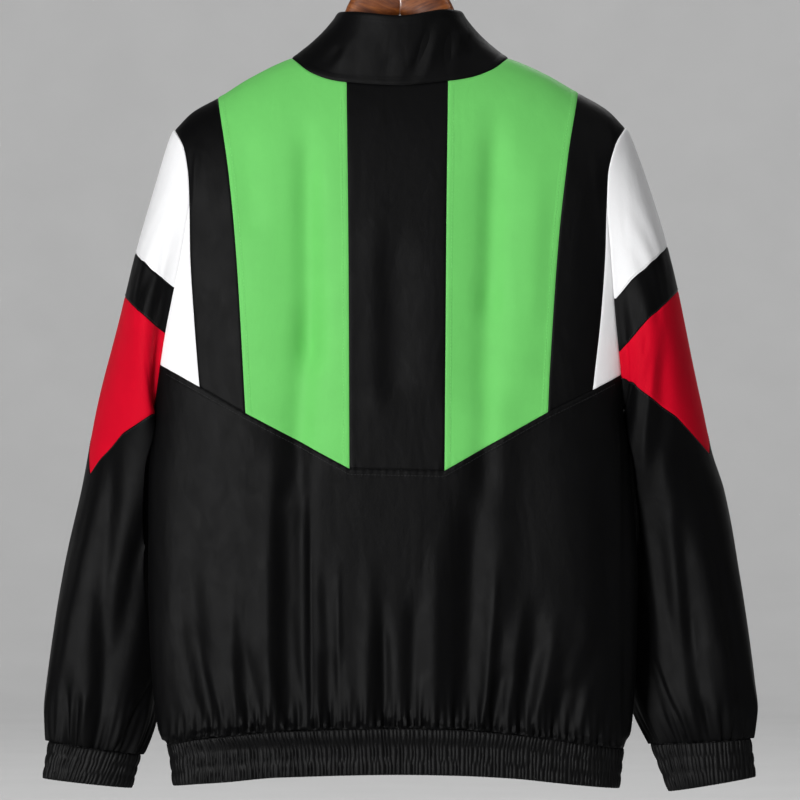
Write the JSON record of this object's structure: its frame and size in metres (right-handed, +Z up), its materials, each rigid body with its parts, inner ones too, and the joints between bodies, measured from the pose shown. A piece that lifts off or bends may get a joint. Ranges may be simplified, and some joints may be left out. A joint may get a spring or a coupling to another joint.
{
  "type": "windbreaker on a wooden hanger",
  "caption": "Zip-front windbreaker with colour-blocked back panels, stand collar and ribbed cuffs and hem, hung on a wooden hanger with a wire hook.",
  "frame": {"origin": "the point under the top of the hook's wire where the rail that holds the hanger touches it", "axes": "+Z up; the garment's back faces -Y and its zip front +Y; +X is the wearer's right-hand side"},
  "size_m": [0.7344, 0.1747, 0.9194],
  "materials": {
    "black_fabric": "smooth matt-satin woven polyester",
    "green_fabric": "smooth matt-satin woven polyester",
    "white_fabric": "smooth matt-satin woven polyester",
    "red_fabric": "smooth matt-satin woven polyester",
    "black_rib": "matt ribbed elastic knit",
    "wood": "varnished red-brown wood",
    "steel": "polished wire",
    "zip_tape": "matt woven tape",
    "zip_metal": "black enamelled metal"
  },
  "bodies": {
    "garment": {"back_center": "black_fabric", "back_green_left": "green_fabric", "back_green_right": "green_fabric", "back_side_left": "black_fabric", "back_side_right": "black_fabric", "back_wedge_left": "white_fabric", "back_wedge_right": "white_fabric", "back_lower": "black_fabric", "front_left": "black_fabric", "front_right": "black_fabric", "collar": "black_fabric", "hem_band": "black_rib", "sleeve_top_left": "white_fabric", "sleeve_top_right": "white_fabric", "sleeve_stripe_left": "black_fabric", "sleeve_stripe_right": "black_fabric", "sleeve_panel_left": "red_fabric", "sleeve_panel_right": "red_fabric", "sleeve_lower_left": "black_fabric", "sleeve_lower_right": "black_fabric", "cuff_left": "black_rib", "cuff_right": "black_rib", "hanger_left": "wood", "hanger_right": "wood", "hanger_hook": "steel", "zip_tape_left": "zip_tape", "zip_tape_right": "zip_tape", "zip_chain": "zip_metal", "zip_slider": "zip_metal"},
    "pull": {"zip_pull": "zip_metal"}
  },
  "joints": [
    {"name": "pull_swing", "type": "hinge", "parent": "garment", "child": "pull", "pos_m": [0, 0.09504, -0.18624], "axis": [1, 0, 0], "range_deg": [-40, 175]}
  ]
}
